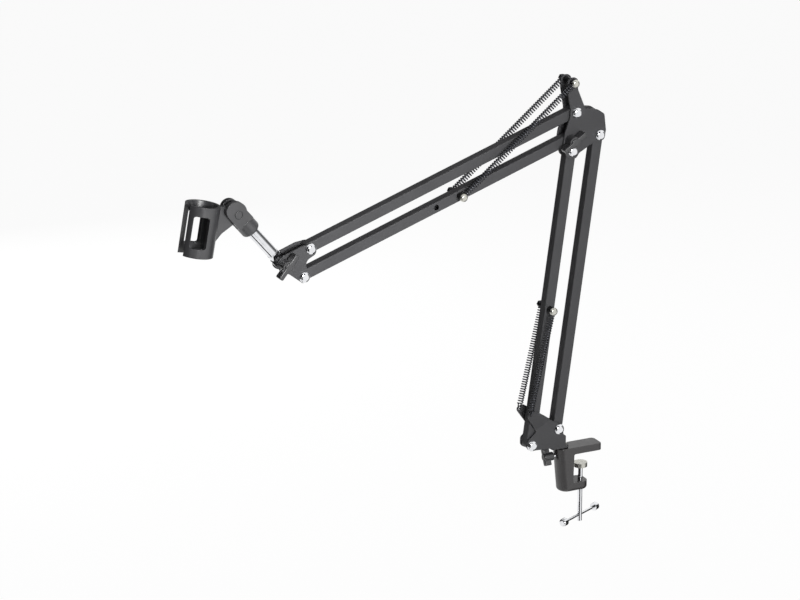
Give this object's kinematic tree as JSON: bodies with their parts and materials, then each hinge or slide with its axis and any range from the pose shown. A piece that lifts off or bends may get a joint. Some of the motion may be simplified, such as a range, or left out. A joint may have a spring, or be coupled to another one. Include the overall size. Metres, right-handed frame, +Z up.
{
  "type": "microphone boom arm",
  "caption": "Spring-balanced scissor boom arm for a microphone: desk clamp, swivelling base, parallelogram arms of square tube, tension springs and a split tapered clip.",
  "frame": {"origin": "underside of the clamp's upper jaw, on the axis of the clamp screw, where the desk top lies", "axes": "+X from the desk's edge over the desk, +Z up, -Y the near side with the wing knobs"},
  "size_m": [0.5249, 0.0421, 0.5321],
  "materials": {
    "satin_black_powder_coat": "satin black powder coat",
    "cast_black_paint": "satin black paint on a casting",
    "black_zinc": "black zinc",
    "chrome_plate": "polished chrome",
    "zinc_plate": "zinc plated",
    "black_spring_steel": "blackened spring wire",
    "black_nylon": "black nylon",
    "black_moulding": "matte dark grey moulding",
    "brass": "plain brass"
  },
  "bodies": {
    "clamp": {"clamp_frame": "cast_black_paint", "swivel_washer": "black_nylon"},
    "pad": {"pressure_pad": "zinc_plate"},
    "screw": {"clamp_screw": "chrome_plate"},
    "tommy_bar": {"tommy_bar": "chrome_plate", "tommy_bar_caps": "chrome_plate"},
    "swivel_lock": {"swivel_knob": "black_moulding", "swivel_knob_stud": "chrome_plate"},
    "base": {"base_bracket": "satin_black_powder_coat", "swivel_spigot": "zinc_plate", "base_pivot_bolts": "chrome_plate", "base_pivot_nuts": "zinc_plate"},
    "lower_front": {"lower_front_bar": "satin_black_powder_coat", "lower_front_bushes": "black_nylon", "lower_spring_pin": "zinc_plate", "lower_spring_pin_nut": "black_zinc", "lower_spring_collars": "black_zinc", "lower_spring_near": "black_spring_steel", "lower_spring_far": "black_spring_steel"},
    "lower_rear": {"lower_rear_bar": "satin_black_powder_coat", "lower_rear_bushes": "black_nylon"},
    "elbow": {"elbow_plate_near": "satin_black_powder_coat", "elbow_plate_far": "satin_black_powder_coat", "elbow_pivot_bolts": "chrome_plate", "elbow_pivot_nuts": "zinc_plate", "elbow_tension_bolt": "zinc_plate", "elbow_spring_pin": "zinc_plate", "elbow_spring_pin_nut": "black_zinc", "elbow_spring_collars": "black_zinc", "elbow_spacer": "black_zinc"},
    "elbow_knob": {"elbow_knob": "black_moulding", "elbow_knob_insert": "brass"},
    "upper_low": {"upper_low_bar": "satin_black_powder_coat", "upper_low_bushes": "black_nylon", "upper_spring_pin": "zinc_plate", "upper_spring_pin_nut": "black_zinc", "upper_spring_collars": "black_zinc"},
    "upper_top": {"upper_top_bar": "satin_black_powder_coat", "upper_top_bushes": "black_nylon"},
    "upper_spring_head": {"upper_spring_near": "black_spring_steel"},
    "upper_spring_tail": {"upper_spring_far": "black_spring_steel"},
    "head": {"head_plate_near": "satin_black_powder_coat", "head_plate_far": "satin_black_powder_coat", "head_pivot_bolts": "chrome_plate", "head_pivot_nuts": "zinc_plate", "tilt_bolt": "zinc_plate"},
    "head_knob": {"head_knob": "black_moulding", "head_knob_insert": "brass"},
    "tube": {"mic_tube": "chrome_plate", "thread_stud": "zinc_plate", "clip_barrel": "black_moulding", "knuckle_screw": "black_moulding", "knuckle_nut": "zinc_plate", "tilt_spacers": "black_nylon"},
    "clip": {"mic_clip": "black_moulding"}
  },
  "joints": [
    {"name": "pad_slide", "type": "slide", "parent": "clamp", "child": "pad", "axis": [0, 0, 1], "range_m": [-0.015, 0.0145]},
    {"name": "screw_turn", "type": "hinge", "parent": "pad", "child": "screw", "pos_m": [0, 0, -0.06], "axis": [0, 0, 1], "range_deg": [-5400, 5220]},
    {"name": "tommy_slide", "type": "slide", "parent": "screw", "child": "tommy_bar", "axis": [0.8949, 0.4462, 0], "range_m": [-0.025, 0.025]},
    {"name": "swivel_lock_turn", "type": "hinge", "parent": "clamp", "child": "swivel_lock", "pos_m": [-0.044, 0, -0.0016], "axis": [1, 0, 0], "continuous": true},
    {"name": "base_swivel", "type": "hinge", "parent": "clamp", "child": "base", "pos_m": [-0.025, 0, 0], "axis": [0, 0, 1], "continuous": true},
    {"name": "lower_arm", "type": "hinge", "parent": "base", "child": "lower_front", "pos_m": [-0.068, 0, 0.019], "axis": [0, 1, 0], "range_deg": [-50, 25], "deforming": ["lower_spring_near", "lower_spring_far"]},
    {"name": "lower_rear_pivot", "type": "hinge", "parent": "base", "child": "lower_rear", "pos_m": [-0.0339, 0, 0.0336], "axis": [0, 1, 0], "range_deg": [-50, 25]},
    {"name": "elbow_level", "type": "hinge", "parent": "lower_front", "child": "elbow", "pos_m": [-0.02118, 0, 0.36081], "axis": [0, 1, 0], "range_deg": [-25, 50]},
    {"name": "elbow_knob_turn", "type": "hinge", "parent": "elbow", "child": "elbow_knob", "pos_m": [-0.02478, 0, 0.37391], "axis": [0, 1, 0], "continuous": true},
    {"name": "upper_arm", "type": "hinge", "parent": "elbow", "child": "upper_low", "pos_m": [-0.02478, 0, 0.37391], "axis": [0, 1, 0], "range_deg": [-22, 40]},
    {"name": "upper_top_pivot", "type": "hinge", "parent": "elbow", "child": "upper_top", "pos_m": [-0.01678, 0, 0.40461], "axis": [0, 1, 0], "range_deg": [-22, 40]},
    {"name": "upper_spring_aim", "type": "hinge", "parent": "elbow", "child": "upper_spring_head", "pos_m": [-0.02248, 0, 0.43971], "axis": [0, 1, 0], "range_deg": [-17.8, 31.8], "deforming": ["upper_spring_near"]},
    {"name": "upper_spring_stretch", "type": "slide", "parent": "upper_spring_head", "child": "upper_spring_tail", "axis": [-0.7754, 0, -0.6315], "range_m": [-0.0385, 0.0212], "deforming": ["upper_spring_far"]},
    {"name": "head_level", "type": "hinge", "parent": "upper_low", "child": "head", "pos_m": [-0.35104, 0, 0.26176], "axis": [0, 1, 0], "range_deg": [-40, 22]},
    {"name": "head_knob_turn", "type": "hinge", "parent": "head", "child": "head_knob", "pos_m": [-0.37454, 0, 0.27936], "axis": [0, 1, 0], "continuous": true},
    {"name": "tube_tilt", "type": "hinge", "parent": "head", "child": "tube", "pos_m": [-0.37454, 0, 0.27936], "axis": [0, 1, 0], "range_deg": [-100, 45]},
    {"name": "clip_tilt", "type": "hinge", "parent": "tube", "child": "clip", "pos_m": [-0.42738, 0, 0.34233], "axis": [0, 1, 0], "range_deg": [-25, 75]}
  ],
  "couplings": [
    {"joint": "pad_slide", "follows": "screw_turn", "m_per_rad": 0.00015915},
    {"joint": "lower_rear_pivot", "follows": "lower_arm", "ratio": 1},
    {"joint": "elbow_level", "follows": "lower_arm", "ratio": -1},
    {"joint": "upper_top_pivot", "follows": "upper_arm", "ratio": 1},
    {"joint": "head_level", "follows": "upper_arm", "ratio": -1},
    {"joint": "upper_spring_aim", "follows": "upper_arm", "ratio": 0.785},
    {"joint": "upper_spring_stretch", "follows": "upper_arm", "m_per_rad": -0.0536}
  ]
}
